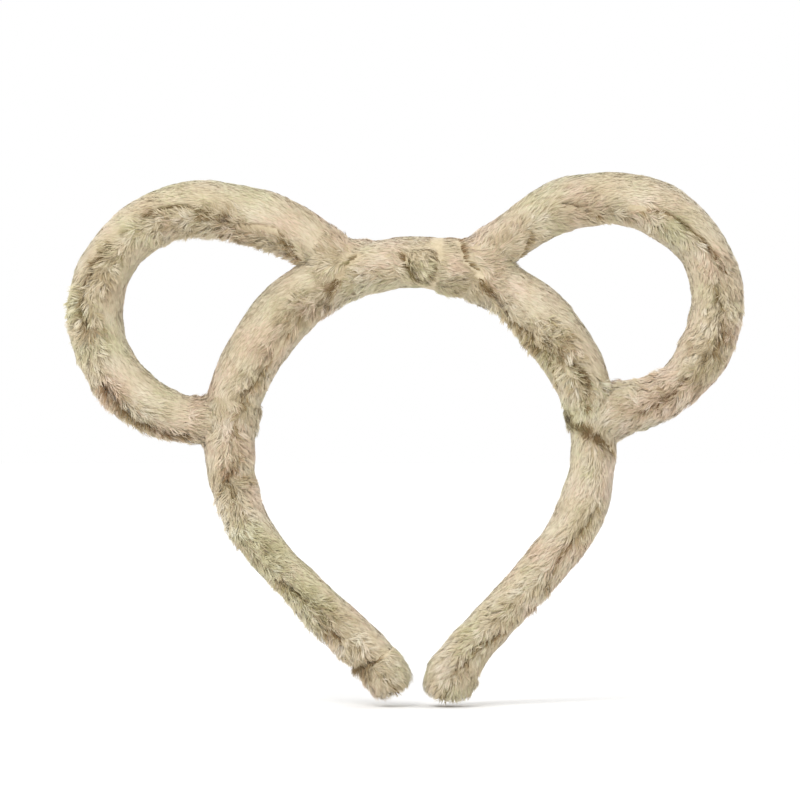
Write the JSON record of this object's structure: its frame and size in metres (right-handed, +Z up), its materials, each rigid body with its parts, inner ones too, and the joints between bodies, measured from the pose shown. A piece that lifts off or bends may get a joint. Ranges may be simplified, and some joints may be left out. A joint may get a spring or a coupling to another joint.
{
  "type": "plush animal ears headband",
  "caption": "Fur-covered springy headband with open ring-shaped plush ears that can be tilted.",
  "frame": {"origin": "centre of the flat underside of the crown's wrap, where the band rests on the head", "axes": "+Z up, the front faces -Y, and +X is to the right as seen from the front"},
  "size_m": [0.2352, 0.0214, 0.1857],
  "materials": {
    "fur": "short beige faux fur, matted in strands",
    "foam": "white wadding",
    "strip": "white moulded plastic",
    "wire": "drawn steel wire",
    "tape": "cream cloth tape"
  },
  "bodies": {
    "crown": {"crown_strip": "strip", "crown_foam": "foam", "crown_sleeve": "fur", "crown_wrap": "fur"},
    "left_arm": {"left_strip": "strip", "left_foam": "foam", "left_sleeve": "fur", "left_upper_wire_foot": "wire", "left_lower_wire_foot": "wire", "left_upper_tape": "tape", "left_lower_tape": "tape", "left_upper_wrap": "fur", "left_lower_wrap": "fur", "left_tip_cap": "fur"},
    "left_ear": {"left_ear_wire": "wire", "left_ear_foam": "foam", "left_ear_sleeve": "fur"},
    "right_arm": {"right_strip": "strip", "right_foam": "foam", "right_sleeve": "fur", "right_upper_wire_foot": "wire", "right_lower_wire_foot": "wire", "right_upper_tape": "tape", "right_lower_tape": "tape", "right_upper_wrap": "fur", "right_lower_wrap": "fur", "right_tip_cap": "fur"},
    "right_ear": {"right_ear_wire": "wire", "right_ear_foam": "foam", "right_ear_sleeve": "fur"}
  },
  "joints": [
    {"name": "left_arm_flex", "type": "hinge", "parent": "crown", "child": "left_arm", "pos_m": [-0.0148, 0, 0.00702], "axis": [0, 1, 0], "range_deg": [0, 16], "stiffness_Nm_per_rad": 0.8},
    {"name": "right_arm_flex", "type": "hinge", "parent": "crown", "child": "right_arm", "pos_m": [0.0148, 0, 0.00702], "axis": [0, -1, 0], "range_deg": [0, 16], "stiffness_Nm_per_rad": 0.8},
    {"name": "left_ear_tilt", "type": "hinge", "parent": "left_arm", "child": "left_ear", "pos_m": [-0.0316, 0, 0.01342], "axis": [0.608, 0, 0.7939], "range_deg": [-25, 25]},
    {"name": "right_ear_tilt", "type": "hinge", "parent": "right_arm", "child": "right_ear", "pos_m": [0.02941, 0, 0.01343], "axis": [0.6477, 0, -0.7619], "range_deg": [-25, 25]}
  ]
}
